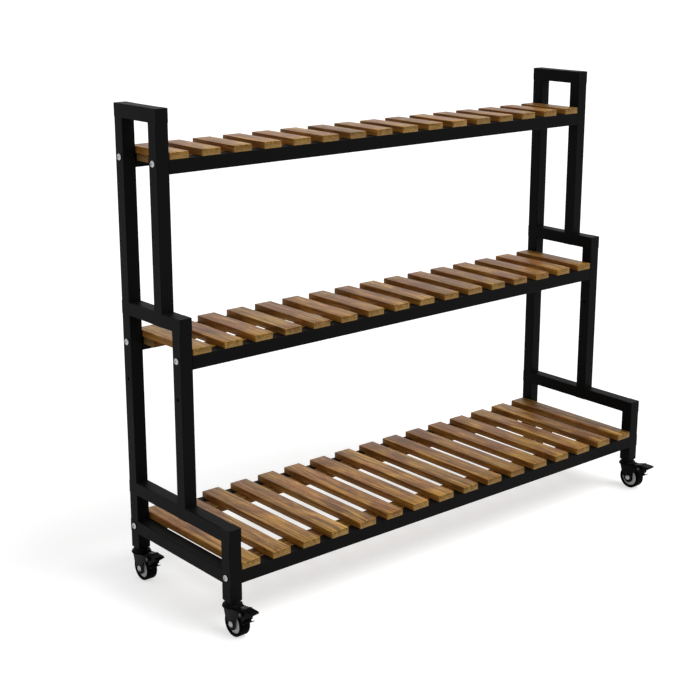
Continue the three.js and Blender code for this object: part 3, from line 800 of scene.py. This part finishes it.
CASTER_PIECES = [
    ("swivel_stem", "swivel_race", stem_mesh(), "caster_fork", None),
    ("fork", "pressed_fork", fork_mesh(), "caster_fork", "swivel"),
    ("axle_bolt", "domed_axle", headed_rod("domed_axle", AXLE_RADIUS, "axle_bolt", CASTER_ZINC),
     "caster_hardware", "swivel"),
    ("pedal_pin", "domed_pin", headed_rod("domed_pin", PIN_RADIUS, "pedal_pin", PIN_STEEL),
     "caster_hardware", "swivel"),
    ("wheel_core", "ribbed_core", core_mesh(), "wheel_core", "wheel"),
    ("tyre", "solid_tyre", tyre_mesh(), "tyre", "wheel"),
    ("brake_pedal", "foot_pedal", pedal_mesh(), "caster_fork", "pedal"),
    ("brake_shoe", "bent_shoe", shoe_mesh(), "caster_fork", "pedal"),
]
OWN_MIDDLE = {"axle_bolt": AXLE, "wheel_core": AXLE, "tyre": AXLE, "pedal_pin": PIN}
for row in ROWS:
    for side in SIDES:
        caster = f"{row}_{side}"
        post = centre(f"{caster}_stem_plug")
        post.z = 0.0
        for node, label, mesh, slot, part in CASTER_PIECES:
            body = f"{caster}_{part}" if part else "stand"
            place = post + OWN_MIDDLE.get(node, Vector())
            add_piece(f"{caster}_{label}", mesh, body, f"{caster}_{node}", place)
        cleaned_copy(f"{caster}_stem_plug", f"{caster}_tube_plug", PLUG_NYLON)


# ---------------------------------------------------------------- studio

def lit_and_seen(tree, lit, seen):
    """A level for light that falls on things, and another for what a camera or a mirror sees."""
    path = tree.nodes.new("ShaderNodeLightPath")
    watched = path.outputs["Is Camera Ray"]
    for name in ("Is Glossy Ray", "Is Transmission Ray"):
        either = tree.nodes.new("ShaderNodeMath")
        either.operation = "MAXIMUM"
        tree.links.new(watched, either.inputs[0])
        tree.links.new(path.outputs[name], either.inputs[1])
        watched = either.outputs[0]
    level = tree.nodes.new("ShaderNodeMapRange")
    level.inputs["To Min"].default_value = lit
    level.inputs["To Max"].default_value = seen
    tree.links.new(watched, level.inputs["Value"])
    return level.outputs["Result"]


FLOOR_GREY = 0.6             # what the floor reflects, so that a shadow shows on it
FLOOR_LIFT = 0.6             # what a camera sees besides, so that bare floor is white
WORLD_LIT = 0.45
FLOOR_SIZE = 14.0            # metres, from the middle


def white_floor():
    material = bpy.data.materials.new("floor_white")
    material.use_nodes = True
    tree = material.node_tree
    surface = tree.nodes["Principled BSDF"]
    surface.inputs["Base Color"].default_value = (FLOOR_GREY, FLOOR_GREY, FLOOR_GREY, 1.0)
    surface.inputs["Roughness"].default_value = 0.9
    surface.inputs["Specular IOR Level"].default_value = 0.0
    surface.inputs["Emission Color"].default_value = (1.0, 1.0, 1.0, 1.0)
    tree.links.new(lit_and_seen(tree, 0.0, FLOOR_LIFT), surface.inputs["Emission Strength"])
    bm = bmesh.new()
    bmesh.ops.create_grid(bm, x_segments=1, y_segments=1, size=FLOOR_SIZE)
    mesh = bpy.data.meshes.new("floor")
    bm.to_mesh(mesh)
    bm.free()
    mesh.materials.append(material)
    floor = bpy.data.objects.new("floor", mesh)
    bpy.context.scene.collection.objects.link(floor)


def white_world():
    world = bpy.data.worlds.new("studio")
    bpy.context.scene.world = world
    world.use_nodes = True
    background = world.node_tree.nodes["Background"]
    background.inputs["Color"].default_value = (1.0, 1.0, 1.0, 1.0)
    world.node_tree.links.new(lit_and_seen(world.node_tree, WORLD_LIT, 1.0), background.inputs["Strength"])


KEY_FROM = (0.297, -0.51, 0.807)
KEY_SPREAD = 38.0            # degrees across, which keeps the shadow soft
KEY_STRENGTH = 2.1


def soft_key():
    """One broad, distant lamp over the front, so that the floor is lit evenly."""
    lamp = bpy.data.lights.new("key", "SUN")
    lamp.angle = math.radians(KEY_SPREAD)
    lamp.energy = KEY_STRENGTH
    holder = bpy.data.objects.new("key", lamp)
    bpy.context.scene.collection.objects.link(holder)
    holder.matrix_world = Vector(KEY_FROM).to_track_quat("Z", "Y").to_matrix().to_4x4()


white_floor()
white_world()
soft_key()


# ---------------------------------------------------------------- camera, solved from the photograph

PICTURE = (695, 689)
FOCAL_PIXELS = 1410.716
PRINCIPAL = (347.417, 318.136)
YAW, RISE, ROLL = 0.702262, -0.261649, 0.000767
CAMERA_PLACE = (-1.83389, -1.96531, 1.16910)
SENSOR = 36.0


def photo_camera():
    forward = Vector((math.sin(YAW) * math.cos(RISE), math.cos(YAW) * math.cos(RISE), math.sin(RISE)))
    level_right = Vector((math.cos(YAW), -math.sin(YAW), 0.0))
    level_up = level_right.cross(forward)
    right = level_right * math.cos(ROLL) + level_up * math.sin(ROLL)
    up = level_up * math.cos(ROLL) - level_right * math.sin(ROLL)
    data = bpy.data.cameras.new("camera")
    data.sensor_fit = "HORIZONTAL"
    data.sensor_width = SENSOR
    data.lens = FOCAL_PIXELS / PICTURE[0] * SENSOR
    data.shift_x = (PICTURE[0] / 2 - PRINCIPAL[0]) / PICTURE[0]
    data.shift_y = (PRINCIPAL[1] - PICTURE[1] / 2) / PICTURE[0]
    camera = bpy.data.objects.new("camera", data)
    bpy.context.scene.collection.objects.link(camera)
    turn = Matrix((right, up, -forward)).transposed().to_4x4()
    camera.matrix_world = Matrix.Translation(CAMERA_PLACE) @ turn
    bpy.context.scene.camera = camera


photo_camera()
bpy.context.scene.view_settings.view_transform = "Standard"
